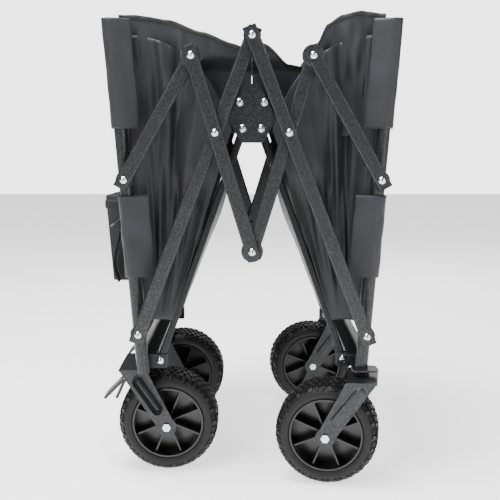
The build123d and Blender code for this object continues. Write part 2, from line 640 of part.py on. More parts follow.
def build_fabric():
    """Plain closed solids for the tub's cloth, the post sleeves and the rear pocket."""
    bore = post_radius + sleeve_gap + 0.5
    sleeve_radius = bore + sleeve_wall
    panel_half_width = post_offset - sleeve_radius - seat_gap
    side_cloth_y = panel_half_width + seat_gap + cloth_thickness / 2
    middle_cloth_y = side_cloth_y - cloth_thickness - seat_gap
    chord = sqrt((sleeve_radius + 0.7) ** 2 - (post_offset - side_cloth_y - cloth_thickness / 2) ** 2)
    for name, end in (("rear", -1), ("front", 1)):
        tubes = [post_sides(*span, sleeve_radius, bore, end) for span in (upper_sleeve, lower_sleeve)]
        save(f"{name}_sleeves", *[s for t in tubes for s in both(t)])
        save(f"{name}_panel", leaning_slab(end, panel_low, panel_high, panel_half_width, 0, panel_thickness))
        outline = [(post_x(z, end) - end * chord, z) for z in (side_cloth_low, side_cloth_high)]
        outline += [(end * side_cloth_reach, side_cloth_high), (end * side_cloth_reach, side_cloth_low)]
        save(f"{name}_side_cloth", *both(standing_sheet(outline, side_cloth_y)))
        inside, outside = end * mid_cloth_inside, end * mid_cloth_outside
        outline = [(inside, mid_cloth_low), (outside, mid_cloth_low), (outside, mid_cloth_high),
                   (inside, mid_cloth_high)]
        save(f"{name}_middle_cloth", *both(standing_sheet(outline, middle_cloth_y)))
    length = hypot(floor_pin_x - hub_pin_x, hub_pin_z - floor_pin_z) - 2 * floor_cloth_back
    tilt = degrees(atan2(hub_pin_z - floor_pin_z, floor_pin_x - hub_pin_x))
    for name, end in (("rear", -1), ("front", 1)):
        half = floor_bar_y(end) - floor_bar_thickness / 2 - seat_gap
        sheet = Box(length, 2 * half, floor_cloth_thickness)
        x = end * (floor_pin_x + hub_pin_x) / 2
        save(f"{name}_floor_cloth", Pos(x, 0, (floor_pin_z + hub_pin_z) / 2) * Rot(0, end * tilt, 0) * sheet)
    away = panel_thickness / 2 + seat_gap + pocket_depth / 2
    pocket = leaning_slab(-1, pocket_low, pocket_high, pocket_half_width, -away, pocket_depth)
    save("rear_pocket", pocket)


os.makedirs("parts", exist_ok=True)
build_frames()
build_linkage()
build_wheels()
build_floor()
build_handle()
build_fabric()
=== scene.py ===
"""Looks of the folding camp wagon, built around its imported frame. Metres, the frame's own axes."""
import bpy
import json
from math import atan2, cos, hypot, pi, radians, sin
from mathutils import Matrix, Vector


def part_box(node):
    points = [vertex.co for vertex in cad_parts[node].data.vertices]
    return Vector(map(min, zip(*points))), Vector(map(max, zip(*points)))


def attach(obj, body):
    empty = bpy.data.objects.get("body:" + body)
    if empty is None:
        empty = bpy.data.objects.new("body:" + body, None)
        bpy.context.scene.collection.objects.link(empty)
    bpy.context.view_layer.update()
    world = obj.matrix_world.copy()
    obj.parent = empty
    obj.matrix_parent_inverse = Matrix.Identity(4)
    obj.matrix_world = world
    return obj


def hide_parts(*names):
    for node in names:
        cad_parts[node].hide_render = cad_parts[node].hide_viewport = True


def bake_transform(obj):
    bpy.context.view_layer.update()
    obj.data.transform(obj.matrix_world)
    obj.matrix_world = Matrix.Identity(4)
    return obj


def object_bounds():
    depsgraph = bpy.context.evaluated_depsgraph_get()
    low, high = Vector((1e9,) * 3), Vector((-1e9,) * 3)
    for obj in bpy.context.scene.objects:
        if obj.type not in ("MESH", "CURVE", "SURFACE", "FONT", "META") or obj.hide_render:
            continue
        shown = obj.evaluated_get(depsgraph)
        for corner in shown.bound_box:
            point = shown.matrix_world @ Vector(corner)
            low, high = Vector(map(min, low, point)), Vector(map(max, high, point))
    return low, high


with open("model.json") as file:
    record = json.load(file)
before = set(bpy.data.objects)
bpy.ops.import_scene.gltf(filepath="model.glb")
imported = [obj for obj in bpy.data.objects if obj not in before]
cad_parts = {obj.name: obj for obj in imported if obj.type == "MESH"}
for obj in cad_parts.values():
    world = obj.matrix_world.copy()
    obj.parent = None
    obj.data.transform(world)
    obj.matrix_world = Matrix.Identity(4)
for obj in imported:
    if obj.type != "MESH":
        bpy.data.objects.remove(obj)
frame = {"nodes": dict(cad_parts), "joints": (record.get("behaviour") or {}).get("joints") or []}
cad_low, cad_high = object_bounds()
bpy.ops.object.select_all(action="DESELECT")

# Steel tubes and pressings
# Posts, bars, channels and forks are steel finished in a hammertone powder coat: a grey coat that
# pulls into small hammered cells as it cures, so it glints in speckles with darker rims between.


def linear(code):
    """An sRGB hex code as linear RGBA."""
    parts = [int(code[i:i + 2], 16) / 255 for i in (1, 3, 5)]
    return (*[c / 12.92 if c <= 0.04045 else ((c + 0.055) / 1.055) ** 2.4 for c in parts], 1)


def add_node(material, kind, inputs=(), **settings):
    """Adds a node with its settings; an input is a value or the socket that feeds it."""
    made = material.node_tree.nodes.new(kind)
    for name, value in settings.items():
        setattr(made, name, value)
    for name, value in dict(inputs).items():
        if isinstance(value, bpy.types.NodeSocket):
            material.node_tree.links.new(value, made.inputs[name])
        else:
            made.inputs[name].default_value = value
    return made


def ramp(material, feed, stops):
    """A colour ramp from (position, hex) stops."""
    made = add_node(material, "ShaderNodeValToRGB", {"Fac": feed})
    elements = made.color_ramp.elements
    while len(elements) < len(stops):
        elements.new(0.5)
    for element, (place, code) in zip(elements, stops):
        element.position = place
        element.color = linear(code)
    return made.outputs["Color"]


def new_material(name, roughness, metallic=0.0, **more):
    """An empty material with its shader, and its object coordinates."""
    material = bpy.data.materials.new(name)
    material.use_nodes = True
    shader = material.node_tree.nodes["Principled BSDF"]
    shader.inputs["Roughness"].default_value = roughness
    shader.inputs["Metallic"].default_value = metallic
    for socket, value in more.items():
        shader.inputs[socket.replace("_", " ")].default_value = value
    place = add_node(material, "ShaderNodeTexCoord").outputs["Object"]
    return material, shader, place


def finish_material(material, shader, colour, height=None, depth=0.0002, strength=0.5):
    """Feeds a material's colour and bump."""
    material.node_tree.links.new(colour, shader.inputs["Base Color"])
    if height is not None:
        bump = add_node(material, "ShaderNodeBump", {"Height": height, "Distance": depth,
                                                     "Strength": strength})
        material.node_tree.links.new(bump.outputs["Normal"], shader.inputs["Normal"])
    return material


def hammertone(name, dark, middle, light):
    """Powder coat whose cells are about 1.4 mm across."""
    cell = 0.0014
    material, shader, place = new_material(name, 0.34, 0.55)
    cells = add_node(material, "ShaderNodeTexVoronoi", {"Vector": place, "Scale": 1 / cell},
                     feature="SMOOTH_F1").outputs["Distance"]
    drift = add_node(material, "ShaderNodeTexNoise",
                     {"Vector": place, "Scale": 1 / (2.6 * cell), "Detail": 2.0})
    mix = add_node(material, "ShaderNodeMath", {0: cells, 1: drift.outputs["Fac"]}, operation="MULTIPLY")
    colour = ramp(material, mix.outputs[0], [(0.04, light), (0.17, middle), (0.34, dark)])
    return finish_material(material, shader, colour, cells, 0.0004, 0.4)


post_coat = hammertone("hammertone_powder_coat", "#1b1d1e", "#2c2f31", "#484c4e")
# The same hammertone coat darkened to about half, for the floor bars, channels, floor brackets, kingpins and
# the handle's outer tube and ears: the darkening is painted shade.
painted_shade_coat = hammertone("hammertone_coat_with_painted_shade", "#0e0f10", "#17191a", "#282a2c")


def dress(material, *names):
    """Gives CAD nodes a material."""
    for name in names:
        node = frame["nodes"][name]
        node.data.materials.clear()
        node.data.materials.append(material)


dress(post_coat, "hub_plates", "front_brackets", "rear_posts", "front_posts", "corner_links_rear",
      "corner_links_front", "cross_bars_rear",
      "cross_bars_front", "long_bars_rear", "long_bars_front", "rear_forks", "caster_fork_near",
      "caster_fork_far")
# The floor bars, channels, floor brackets, kingpins and handle parts take the coat darkened with painted
# shade.
dress(painted_shade_coat, "rear_channel", "front_channel", "rear_floor_brackets", "floor_bars_rear",
      "floor_bars_front", "kingpins", "handle_outer_tube", "handle_ears")

# Rivets, bolts and pins
# Zinc-plated steel, cold-headed and tumbled: bright, slightly blue, with fine drawing marks.
zinc, zinc_shader, zinc_place = new_material("bright_zinc_plate", 0.2, 1.0)
zinc_grain = add_node(zinc, "ShaderNodeTexNoise", {"Vector": zinc_place, "Scale": 900.0, "Detail": 3.0})
zinc_colour = ramp(zinc, zinc_grain.outputs["Fac"], [(0.3, "#aeb4b8"), (0.7, "#e6eaec")])
finish_material(zinc, zinc_shader, zinc_colour, zinc_grain.outputs["Fac"], 0.00005, 0.3)
dress(zinc, "rear_rivets", "front_rivets", "scissor_rivets_rear", "scissor_rivets_front", "cross_bar_studs",
      "corner_link_studs", "hub_bolts", "rear_axles", "caster_axle_near", "caster_axle_far",
      "handle_inner_tube")

# Moulded plastics
# Caps, spacers, rims, pedals and collar are black polypropylene with a fine moulded grain that keeps
# their highlights soft.


def moulded(name, dark, light, roughness, grain):
    """Black moulded plastic with a grain of the given size."""
    material, shader, place = new_material(name, roughness)
    noise = add_node(material, "ShaderNodeTexNoise", {"Vector": place, "Scale": 1 / grain, "Detail": 4.0})
    colour = ramp(material, noise.outputs["Fac"], [(0.35, dark), (0.65, light)])
    return finish_material(material, shader, colour, noise.outputs["Fac"], 0.0002, 0.35)


black_plastic = moulded("black_polypropylene", "#0d0d0e", "#17181a", 0.4, 0.0012)
rim_plastic = moulded("rim_polypropylene", "#050506", "#0b0b0d", 0.28, 0.002)
grip_rubber = moulded("soft_grip_rubber", "#0c0c0c", "#161616", 0.7, 0.001)
dress(black_plastic, "rear_post_plastics", "front_post_plastics", "scissor_spacer_top", "brake_pedal_near",
      "brake_pedal_far", "handle_collar", "handle_button")
dress(rim_plastic, "rim_rear_near", "rim_rear_far", "rim_front_near", "rim_front_far")
dress(grip_rubber, "handle_grip")

# Joint spacers
# Round moulded washers between the two layers of bars where the scissor's ends meet, turned from the
# same black plastic as the caps, a little wider than the bars.
joints = {j["name"]: j for j in frame["joints"]}
sides = {"near": -1, "far": 1}


def select_only(obj):
    """Makes one object the only selected and active one."""
    bpy.ops.object.select_all(action="DESELECT")
    obj.select_set(True)
    bpy.context.view_layer.objects.active = obj


def settle(obj, name, material):
    """Puts a finished piece's place into its mesh and names it."""
    select_only(obj)
    bpy.ops.object.transform_apply(location=True, rotation=True, scale=True)
    obj.name = name
    obj.data.materials.clear()
    obj.data.materials.append(material)
    return obj


def bevel(obj, width, segments=2, limit=35):
    """Rounds an object's sharp edges."""
    select_only(obj)
    rounding = obj.modifiers.new("edge", "BEVEL")
    rounding.width = width
    rounding.segments = segments
    rounding.angle_limit = radians(limit)
    bpy.ops.object.modifier_apply(modifier="edge")
    bpy.ops.object.shade_smooth_by_angle(angle=radians(40))


def washer(name, x, z, low, high, radius, body):
    """A round moulded washer along Y between two distances."""
    bpy.ops.mesh.primitive_cylinder_add(vertices=40, radius=radius, depth=abs(high - low),
                                        location=(x, (low + high) / 2, z), rotation=(pi / 2, 0, 0))
    obj = bpy.context.object
    bevel(obj, 0.0012)
    settle(obj, name, black_plastic)
    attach(obj, body)


studs_low, studs_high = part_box("cross_bar_studs")
front_studs_low, front_studs_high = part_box("corner_link_studs")
layer_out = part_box("cross_bars_rear")[1].y - 0.011
layer_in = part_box("cross_bars_front")[1].y
head = 0.0062
for side, sign in sides.items():
    span = (sign * (layer_in + 0.0004), sign * (layer_out - 0.0004))
    washer(f"peak_washer_rear_{side}", studs_low.x + head, studs_high.z - head, *span, 0.0185, "cross_rear")
    washer(f"foot_washer_{side}", studs_high.x - head, studs_low.z + head, *span, 0.0185, "cross_rear")
    washer(f"peak_washer_front_{side}", (front_studs_low.x + front_studs_high.x) / 2,
           front_studs_high.z - head,
           *span, 0.0185, "corner_front")

# Tyres
# Wide foam-filled tyres of black rubber, moulded with staggered rows of small lugs that wrap over a
# wavy shoulder. The carcass is one turned section; the lugs are copies of one moulded block.
rubber, rubber_shader, rubber_place = new_material("moulded_tyre_rubber", 0.55, Specular_IOR_Level=0.3)
rubber_noise = add_node(rubber, "ShaderNodeTexNoise",
                        {"Vector": rubber_place, "Scale": 260.0, "Detail": 5.0})
rubber_colour = ramp(rubber, rubber_noise.outputs["Fac"], [(0.3, "#070708"), (0.7, "#0f0f11")])
finish_material(rubber, rubber_shader, rubber_colour, rubber_noise.outputs["Fac"], 0.0003, 0.4)
tyre_radius, tyre_half, lug_height = 0.089, 0.0402, 0.0034


def carcass_section():
    """(radius, distance across) points of the tyre's section, from inner bead to inner bead."""
    outer = tyre_radius - lug_height
    half = [(0.0634, 0.036), (0.066, 0.0392), (0.0705, tyre_half), (0.0755, 0.0396), (0.0805, 0.036),
            (0.0838, 0.029), (outer, 0.018)]
    return [(r, -y) for r, y in half] + [(outer + 0.0004, 0.0)] + [(r, y) for r, y in reversed(half)]


def make_tyre():
    """The carcass, spun from its section, with its rows of lugs; its axle is Y."""
    points = carcass_section()
    mesh = bpy.data.meshes.new("carcass")
    mesh.from_pydata([(r, y, 0) for r, y in points], [(i, i + 1) for i in range(len(points) - 1)], [])
    obj = bpy.data.objects.new("carcass", mesh)
    bpy.context.collection.objects.link(obj)
    select_only(obj)
    bpy.ops.object.mode_set(mode="EDIT")
    bpy.ops.mesh.select_all(action="SELECT")
    bpy.ops.mesh.spin(steps=120, angle=2 * pi, center=(0, 0, 0), axis=(0, 1, 0))
    bpy.ops.mesh.select_all(action="SELECT")
    bpy.ops.mesh.remove_doubles(threshold=0.00001)
    bpy.ops.mesh.normals_make_consistent(inside=False)
    bpy.ops.object.mode_set(mode="OBJECT")
    bpy.ops.object.shade_smooth()
    around = 46
    # Each row: distance across, radius, width, stagger in lugs and slope in degrees.
    rows = [(-0.0335, 0.0805, 0.0085, 0.0, 38), (-0.0215, 0.0853, 0.0088, 0.5, 12),
            (-0.0072, 0.0859, 0.0112, 0.0, 0), (0.0072, 0.0859, 0.0112, 0.5, 0),
            (0.0215, 0.0853, 0.0088, 0.0, -12), (0.0335, 0.0805, 0.0085, 0.5, -38)]
    vertices, faces = [], []
    for across, radius, width, stagger, slope in rows:
        for n in range(around):
            turn = 2 * pi * (n + stagger) / around
            skew = (0.0011, -0.0011)[n % 2]
            length = 2 * pi * radius / around * 0.74
            base = len(vertices)
            for lift, share in ((-0.003, 1.0), (lug_height * 0.7, 0.96), (lug_height, 0.78)):
                for a, b in ((-1, -1), (1, -1), (1, 1), (-1, 1)):
                    y = b * width / 2 * share
                    out = lift * 0.95
                    tilt = radians(slope)
                    reach = radius + out * cos(tilt) + y * sin(tilt)
                    side_way = across + y * cos(tilt) - out * sin(tilt) + a * skew
                    angle = turn + a * length * share / 2 / radius
                    reach = min(reach, tyre_radius)
                    vertices.append((reach * cos(angle), side_way, -reach * sin(angle)))
            for k in (0, 4):
                for i in range(4):
                    j = (i + 1) % 4
                    faces.append((base + k + i, base + k + j, base + k + 4 + j, base + k + 4 + i))
            faces.append((base + 8, base + 9, base + 10, base + 11))
            faces.append((base + 3, base + 2, base + 1, base))
    lugs = bpy.data.meshes.new("lugs")
    lugs.from_pydata(vertices, [], faces)
    lug_obj = bpy.data.objects.new("lugs", lugs)
    bpy.context.collection.objects.link(lug_obj)
    select_only(lug_obj)
    bpy.ops.object.mode_set(mode="EDIT")
    bpy.ops.mesh.select_all(action="SELECT")
    bpy.ops.mesh.normals_make_consistent(inside=False)
    bpy.ops.object.mode_set(mode="OBJECT")
    lug_obj.select_set(True)
    obj.select_set(True)
    bpy.context.view_layer.objects.active = obj
    bpy.ops.object.join()
    return bpy.context.object


tyre_model = make_tyre()
for place, body in (("rear_near", "rear_wheel_near"), ("rear_far", "rear_wheel_far"),
                    ("front_near", "caster_wheel_near"), ("front_far", "caster_wheel_far")):
    side = place.split("_")[1]
    spin = joints[f"rear_wheel_spin_{side}" if "rear" in place else f"caster_wheel_spin_{side}"]
    copy = tyre_model.copy()
    copy.data = tyre_model.data.copy()
    bpy.context.collection.objects.link(copy)
    copy.rotation_euler = (0, 0, atan2(-spin["axis"][0], spin["axis"][1]))
    copy.location = spin["pos_m"]
    settle(copy, f"treaded_tyre_{place}", rubber)
    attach(copy, body)
    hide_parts(f"tyre_{place}")
bpy.data.objects.remove(tyre_model)

# Tub cloth
# Coated oxford polyester, dark grey and smooth, sewn into a tub that hangs between the frames. Each
# wall is one cut piece; folded up, it gathers into long soft folds that run down to the floor pins.


def oxford(name, dark, light, roughness=0.5):
    """A coated plain weave with threads 0.45 mm apart, over faint creases."""
    material, shader, place = new_material(name, roughness)
    shader.inputs["Sheen Weight"].default_value = 0.06
    shader.inputs["Sheen Roughness"].default_value = 0.4
    shader.inputs["Specular IOR Level"].default_value = 0.35
    weave = add_node(material, "ShaderNodeTexVoronoi", {"Vector": place, "Scale": 1 / 0.00045},
                     feature="F1").outputs["Distance"]
    crease = add_node(material, "ShaderNodeTexNoise", {"Vector": place, "Scale": 22.0, "Detail": 5.0,
                                                       "Roughness": 0.55}).outputs["Fac"]
    high = add_node(material, "ShaderNodeMath", {0: crease, 1: 9.0, 2: weave}, operation="MULTIPLY_ADD")
    colour = ramp(material, crease, [(0.3, dark), (0.7, light)])
    return finish_material(material, shader, colour, high.outputs[0], 0.0003, 0.6)


cloth = oxford("grey_oxford", "#17181b", "#212228", 0.46)
binding = oxford("black_binding", "#0b0b0c", "#151516", 0.6)
webbing = oxford("black_webbing", "#0e0e0f", "#1a1a1b", 0.7)
floor_pin = {"rear": joints["floor_rear_pivot"]["pos_m"], "front": joints["floor_front_pivot"]["pos_m"]}
centre_x = (floor_pin["rear"][0] + floor_pin["front"][0]) / 2
hub_pin = joints["hub_pivot"]["pos_m"]
hub_half, hub_height = centre_x - hub_pin[0], hub_pin[2]
ways = {"rear": -1, "front": 1}
post_foot = {"rear": joints["fold"]["pos_m"]}
lean = radians(4.36)
post_reach = centre_x - post_foot["rear"][0]


def post_at(height, way):
    """The x of a post's axis at a height."""
    return centre_x + way * (post_reach + (height - post_foot["rear"][2]) * sin(lean) / cos(lean))


def smooth(share):
    """Eases a share from 0 to 1."""
    share = min(max(share, 0.0), 1.0)
    return share * share * (3 - 2 * share)


def grid_sheet(name, columns, rows, place, material, thickness=0.0016, thicken=True):
    """A grid whose points place(u, v) gives, as a cloth sheet with a thickness."""
    bpy.ops.mesh.primitive_grid_add(x_subdivisions=columns, y_subdivisions=rows, size=1, location=(0, 0, 0))
    obj = bpy.context.object
    for vertex in obj.data.vertices:
        vertex.co = place(vertex.co.x + 0.5, vertex.co.y + 0.5)
    select_only(obj)
    bpy.ops.object.mode_set(mode="EDIT")
    bpy.ops.mesh.select_all(action="SELECT")
    bpy.ops.mesh.normals_make_consistent(inside=False)
    bpy.ops.object.mode_set(mode="OBJECT")
    if thicken:
        solid = obj.modifiers.new("cloth", "SOLIDIFY")
        solid.thickness = thickness
        solid.offset = 0.0
        bpy.ops.object.modifier_apply(modifier="cloth")
    bpy.ops.object.shade_smooth()
    return settle(obj, name, material)


def bumpy(a, b, seed):
    """A slow irregular wave from -1 to 1, the same on each run."""
    return (sin(a + 1.7 * seed + 1.3 * sin(b * 1.7 + seed)) * 0.55
            + sin(a * 2.3 - b * 1.1 + 2.9 * seed) * 0.3 + sin(a * 4.1 + b * 2.3 + 0.7 * seed) * 0.15)


thread_fibre = oxford("grey_thread", "#2c2e32", "#3a3c41", 0.6)


def stitches(name, rows, pitch=0.0034, width=0.0009):
    """Rows of short sunk stitches along lists of (point, which side is out)."""
    vertices, faces = [], []
    for row in rows:
        since = pitch
        for (a, out), (b, _) in zip(row, row[1:]):
            since += (b - a).length
            if since < pitch or (b - a).length < 1e-6:
                continue
            since = 0.0
            along = (b - a).normalized()
            outward = Vector((0, out, 0))
            across = along.cross(outward).normalized()
            base = len(vertices)
            for step, lift in ((-0.0011, -0.0003), (-0.0006, 0.0011), (0.0006, 0.0011), (0.0011, -0.0003)):
                for way in (-1, 1):
                    vertices.append(a + along * step + outward * lift + across * way * width / 2)
            faces += [(base + 2 * i, base + 2 * i + 1, base + 2 * i + 3, base + 2 * i + 2) for i in range(3)]
            faces += [(base, base + 2, base + 4, base + 6), (base + 7, base + 5, base + 3, base + 1),
                      (base + 6, base + 7, base + 1, base)]
    mesh = bpy.data.meshes.new(name)
    mesh.from_pydata(vertices, [], faces)
    obj = bpy.data.objects.new(name, mesh)
    bpy.context.collection.objects.link(obj)
    select_only(obj)
    bpy.ops.object.mode_set(mode="EDIT")
    bpy.ops.mesh.select_all(action="SELECT")
    bpy.ops.mesh.normals_make_consistent(inside=False)
    bpy.ops.object.mode_set(mode="OBJECT")
    return settle(obj, name, thread_fibre)


# Side walls, lower part
# Between each post and the floor bar beside it the wall is a fan about the floor pin: its folds meet at the
# pin. On the wagon it opens out flat when the floor bar swings down; this sheet keeps its folded shape and
# follows no body.
fan_start, fan_radius, wall_y = 0.075, 0.56, 0.2262
for half, way in ways.items():
    pin = Vector((floor_pin[half][0], 0, floor_pin[half][2]))
    bar_angle = atan2(abs(pin.x - centre_x) - hub_half, hub_height - pin.z)
    for side, sign in sides.items():
        seed = 1.0 + 2 * ("front" == half) + 4 * ("far" == side)

        def fan(u, v):
            """u runs from the post to the floor bar, v from the pin to the top."""
            radius = fan_start + v * (fan_radius - 0.14 * u * u - fan_start)
            post_x = post_at(pin.z + radius, way) - way * 0.012
            post_angle = -atan2(abs(post_x - pin.x), radius)
            angle = post_angle + u * (bar_angle - 0.04 - post_angle)
            shape = sin(pi * u) ** 0.6 * smooth(v * 3)
            waves = bumpy(9 * u + 1.5 * v, 2.6 * v, seed) * 0.6 + bumpy(17 * u, 3.1 * v, seed + 3) * 0.2
            inward = 0.022 * shape + 0.036 * shape * waves * (0.4 + 0.6 * v)
            x = pin.x - way * radius * sin(angle)
            z = pin.z + radius * cos(angle)
            clear_of_hub = 1 - smooth((u - 0.40) / 0.25) * smooth((radius - 0.28) / 0.07)
            layer = (1 - clear_of_hub) * (0.003 if half == "front" else 0.0)
            y = sign * (wall_y - 0.0025 - layer - (0.008 * u + max(inward, 0.0)) * clear_of_hub)
            return x, y, z

        obj = grid_sheet(f"side_wall_{half}_{side}", 110, 90, fan, cloth)
        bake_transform(obj)
        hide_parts(f"{half}_side_cloth")

# Side walls, upper part, with their black binding
# The top of each wall runs from the post's sleeve to the middle of the wagon; on the wagon it slides in with
# the fold, while this sheet keeps its folded shape and follows no body. A black tape is folded over its rim
# and stitched. The front half's rim dips between two bars.
rims = {"rear": ((0.0, 0.795), (0.12, 0.796), (0.38, 0.788), (0.62, 0.768), (0.86, 0.748), (1.0, 0.736)),
        "front": ((0.0, 0.797), (0.18, 0.803), (0.32, 0.797), (0.43, 0.782), (0.50, 0.750), (0.60, 0.712),
                  (0.72, 0.716), (0.90, 0.748), (1.0, 0.757))}
hems = ((0.0, 0.600), (0.5, 0.592), (0.8, 0.600), (1.0, 0.604))


def follow(points, share):
    """The eased height of a profile at a share of its length."""
    for (u, z), (next_u, next_z) in zip(points, points[1:]):
        if share <= next_u:
            return z + (next_z - z) * smooth((share - u) / (next_u - u)) * 0.5 + \
                   (next_z - z) * (share - u) / (next_u - u) * 0.5
    return points[-1][1]


def wall_point(half, side, u, z, out=0.0):
    """A point of the upper wall: u from the post to the middle of the wagon."""
    way, sign = ways[half], sides[side]
    seed = 0.4 + 2 * (half == "front") + 3 * (side == "far")
    x = post_at(z, way) * (1 - u) + (centre_x + way * 0.001) * u - way * 0.012 * (1 - u)
    shape = sin(pi * min(u, 1.0)) ** 0.5
    drop = (0.8 - z) / 0.2
    waves = bumpy(9 * u + 2.2 * drop, 2.4 * drop + 3 * u, seed) * 0.6
    waves += bumpy(19 * u - 3 * drop, 4 * drop, seed + 2) * 0.4
    tuck = 0.037 * smooth((u - 0.42) / 0.2) * smooth((0.735 - z) / 0.032)
    gather = 0.012 * shape + 0.016 * shape * (1 + waves) * (0.45 + 0.55 * min(drop, 1.0))
    gather *= 1 - smooth((u - 0.5) / 0.22)
    layer = 0.006 * smooth((u - 0.5) / 0.22) * (half == "front")
    y = sign * (0.2225 - max(gather, tuck) - layer + out)
    return x, y, z


for half, way in ways.items():
    for side, sign in sides.items():

        def upper(u, v):
            """v runs from the hem to the rim."""
            low, high = follow(hems, u), follow(rims[half], u)
            return wall_point(half, side, u, low + v * (high - low))

        def tape(u, v):
            """A loop over the rim: up the outside, across and down the inside."""
            turn = v * 2 * pi
            high = follow(rims[half], u)
            depth, lift = 0.0018 * cos(turn), 0.0052 * sin(turn)
            return wall_point(half, side, u, high - 0.0035 + lift, depth)

        obj = grid_sheet(f"upper_wall_{half}_{side}", 130, 60, upper, cloth)
        edge = grid_sheet(f"rim_binding_{half}_{side}", 130, 12, tape, binding, thicken=False)
        seam = [(n / 400, follow(rims[half], n / 400) - 0.0075) for n in range(12, 400)]
        thread = stitches(f"rim_stitching_{half}_{side}",
                          [[(Vector(wall_point(half, side, u, z, 0.0011)), sign) for u, z in seam]])
        for piece in (obj, edge, thread):
            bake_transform(piece)
            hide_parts(f"{half}_middle_cloth")

# End walls
# Each end wall is one panel held between its two posts, bound in black along the top; it bellies a
# little between the posts and creases where the pocket and the handle press on it.
for half, way in ways.items():

    def end_wall(u, v):
        """u runs across the wagon, v from the hem to the rim."""
        y = (u - 0.5) * 2 * 0.2235
        z = 0.275 + v * (0.779 + 0.012 * sin(pi * u) - 0.275)
        belly = 0.010 * sin(pi * u) * sin(pi * min(v * 1.05, 1))
        belly += 0.003 * bumpy(9 * u, 6 * v, 1.3) * sin(pi * u)
        return post_at(z, way) - way * belly * (1 if half == "front" else -0.15), y, z

    def end_tape(u, v):
        """A loop over the end wall's rim."""
        x, y, z = end_wall(u, 1.0)
        return x + 0.0028 * cos(2 * pi * v), y, z - 0.0035 + 0.0055 * sin(2 * pi * v)

    obj = grid_sheet(f"end_wall_{half}", 90, 90, end_wall, cloth, 0.0024)
    edge = grid_sheet(f"end_binding_{half}", 90, 12, end_tape, binding, thicken=False)
    for piece in (obj, edge):
        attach(piece, f"{half}_frame")
    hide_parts(f"{half}_panel")

# Post sleeves
# Each post runs through two loops of the same cloth, folded round it and closed by a stitched seam on
# the inner side, so the loop has a round back and a flat tail.
for half, way in ways.items():
    for side, sign in sides.items():
        for part, low, high, tail in (("upper", 0.6085, 0.7885, 0.0175), ("lower", 0.3585, 0.4975, 0.0215)):

            def sleeve(u, v):
                """u runs round the post, v up it; the tail points to the wagon's middle."""
                turn = u * 2 * pi
                z = low + v * (high - low)
                seed = 0.5 + 2 * (half == "front") + (part == "lower")
                body = 0.0146 + 0.0012 * bumpy(3 * cos(turn), 7 * v, seed) * sin(pi * v)
                x, y = body * cos(turn), body * sin(turn)
                if cos(turn) > 0:
                    share = smooth(cos(turn))
                    x += tail * share
                    y *= 1 - 0.72 * share
                return post_at(z, way) - way * x, sign * 0.238 - sign * y, z

            obj = grid_sheet(f"{part}_sleeve_{half}_{side}", 72, 40, sleeve, cloth, 0.0014)

            thread = stitches(f"{part}_sleeve_stitching_{half}_{side}",
                              [[(Vector(sleeve(u, 0.015 + 0.97 * n / 160)), sign) for n in range(161)]
                               for u in (-0.115, -0.14)]
                              + [[(Vector(sleeve(-0.05 - 0.4 * n / 60, v)), sign) for n in range(61)]
                                 for v in (0.035, 0.965)])
            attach(thread, f"{half}_frame")
            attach(obj, f"{half}_frame")
            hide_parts(f"{half}_sleeves")

# Rear pocket
# A flat bellows pocket sewn to the rear wall, with a black band round its mouth and a webbing strap
# with a plastic buckle down its side.
bpy.ops.mesh.primitive_cube_add(size=1)
pocket = bpy.context.object
pocket.scale = (0.041, 0.368, 0.150)
bpy.ops.object.transform_apply(scale=True)
bpy.ops.object.mode_set(mode="EDIT")
bpy.ops.mesh.select_all(action="SELECT")
bpy.ops.mesh.subdivide(number_cuts=23)
bpy.ops.object.mode_set(mode="OBJECT")
bevel(pocket, 0.006, 3, 60)
wall_lean = sin(lean) / cos(lean)
for vertex in pocket.data.vertices:
    x, y, z = vertex.co
    across, up = y / 0.368 * 2, z / 0.15 * 2
    outward = 0.5 - x / 0.041
    x -= 0.004 * outward * (bumpy(4 * across, 3 * up, 2.2) - 0.5) * (1 - across ** 4)
    z += 0.003 * bumpy(5 * across, 2 * outward, 1.1) * (1 if up > 0 else 1.4) * (1 - across ** 4)
    vertex.co = (x - z * wall_lean, y, z)
pocket_low, pocket_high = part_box("rear_pocket")
pocket.location = ((pocket_low.x + pocket_high.x) / 2, 0, (pocket_low.z + pocket_high.z) / 2)
settle(pocket, "rear_pocket_bag", cloth)
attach(pocket, "rear_frame")
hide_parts("rear_pocket")
bpy.ops.mesh.primitive_cube_add(size=1, location=(pocket.location.x, 0, 0))
band = bpy.context.object
band.scale = (0.0445, 0.371, 0.019)
bpy.ops.object.transform_apply(scale=True)
bevel(band, 0.006, 3, 60)
for vertex in band.data.vertices:
    vertex.co.x += 0.0015 * bumpy(vertex.co.y * 22, vertex.co.z * 40, 0.8)
top_z = pocket_high.z - 0.016
band.location = (post_at(top_z, -1) - 0.0245, 0, top_z)
settle(band, "pocket_band", binding)
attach(band, "rear_frame")

# Floor cloths
# The floor is cloth too, in two halves stretched between the floor bars; folded up it stands between
# them and sags to the inside.
for half, way in ways.items():
    pin = Vector((floor_pin[half][0], 0, floor_pin[half][2]))
    top = Vector((centre_x + way * hub_half, 0, hub_height))
    along = top - pin
    side_way = Vector((along.z, 0, -along.x)).normalized() * (1 if way < 0 else -1)
    floor_low, floor_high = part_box(f"{half}_floor_cloth")

    def floor_half(u, v):
        """u runs across the wagon, v up the floor bars."""
        y = floor_low.y + 0.0015 + u * (floor_high.y - floor_low.y - 0.003)
        share = 0.12 + 0.76 * v
        sag = 0.010 * sin(pi * u) * sin(pi * v) + 0.004 * bumpy(6 * u, 5 * v, 2.0) * sin(pi * u)
        spot = pin + along * share + side_way * sag
        return spot.x, y, spot.z

    obj = grid_sheet(f"floor_cloth_{half}", 70, 60, floor_half, cloth, 0.0022)
    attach(obj, f"floor_{half}")
    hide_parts(f"{half}_floor_cloth")

# Fork legs' pressed ribs
# Each fork leg is a steel pressing with a long raised panel that stiffens it, brazed under the same
# powder coat; it stops short of the axle's nut.


